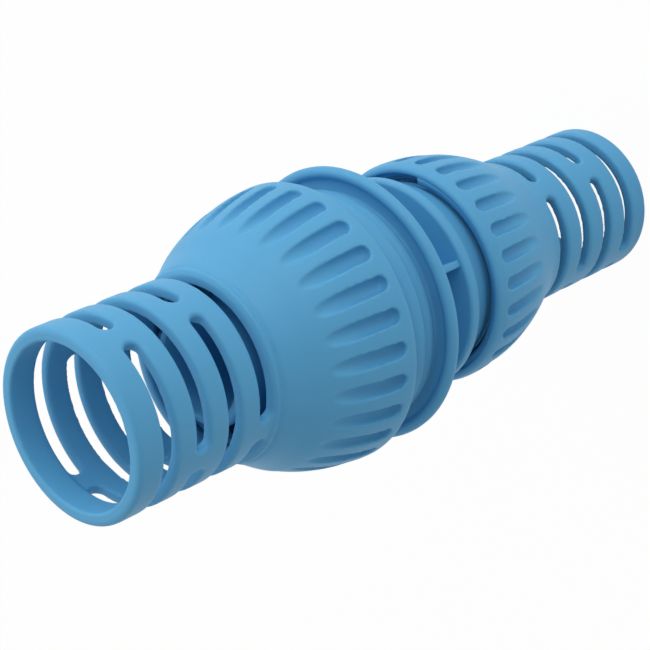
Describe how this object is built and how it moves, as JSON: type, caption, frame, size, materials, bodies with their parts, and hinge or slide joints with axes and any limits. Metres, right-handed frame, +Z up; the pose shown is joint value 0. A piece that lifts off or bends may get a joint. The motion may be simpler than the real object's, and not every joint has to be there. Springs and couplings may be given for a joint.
{
  "type": "hose coupling",
  "caption": "Straight reducing hose coupling: flanged body with barbed tails, fluted domed screw nuts with slotted hose sleeves, and split clamp rings inside.",
  "frame": {"origin": "centre of the small sleeve's rim, on the axis, at the bottom of the bounding box", "axes": "+Z up the common axis from the small mouth to the large mouth; +X towards a bridge of the large sleeve's first slot row"},
  "size_m": [0.0606, 0.0606, 0.162],
  "materials": {
    "blue_plastic": "matte moulded plastic, fine grain"
  },
  "bodies": {
    "coupler": {"coupler_body": "blue_plastic"},
    "large_ring_slider": {"large_clamp_ring": "blue_plastic"},
    "large_nut_screw": {"large_nut": "blue_plastic"},
    "small_ring_slider": {"small_clamp_ring": "blue_plastic"},
    "small_nut_screw": {"small_nut": "blue_plastic"}
  },
  "joints": [
    {"name": "large_ring_slide", "type": "slide", "parent": "coupler", "child": "large_ring_slider", "axis": [0, 0, 1], "range_m": [0, 0.009]},
    {"name": "large_nut_turn", "type": "hinge", "parent": "large_ring_slider", "child": "large_nut_screw", "pos_m": [0, 0, 0.1], "axis": [0, 0, 1], "range_deg": [0, 1080]},
    {"name": "small_ring_slide", "type": "slide", "parent": "coupler", "child": "small_ring_slider", "axis": [0, 0, -1], "range_m": [0, 0.009]},
    {"name": "small_nut_turn", "type": "hinge", "parent": "small_ring_slider", "child": "small_nut_screw", "pos_m": [0, 0, 0.06], "axis": [0, 0, -1], "range_deg": [0, 1080]}
  ],
  "couplings": [
    {"joint": "large_ring_slide", "follows": "large_nut_turn", "m_per_rad": 0.00047746},
    {"joint": "small_ring_slide", "follows": "small_nut_turn", "m_per_rad": 0.00047746}
  ]
}
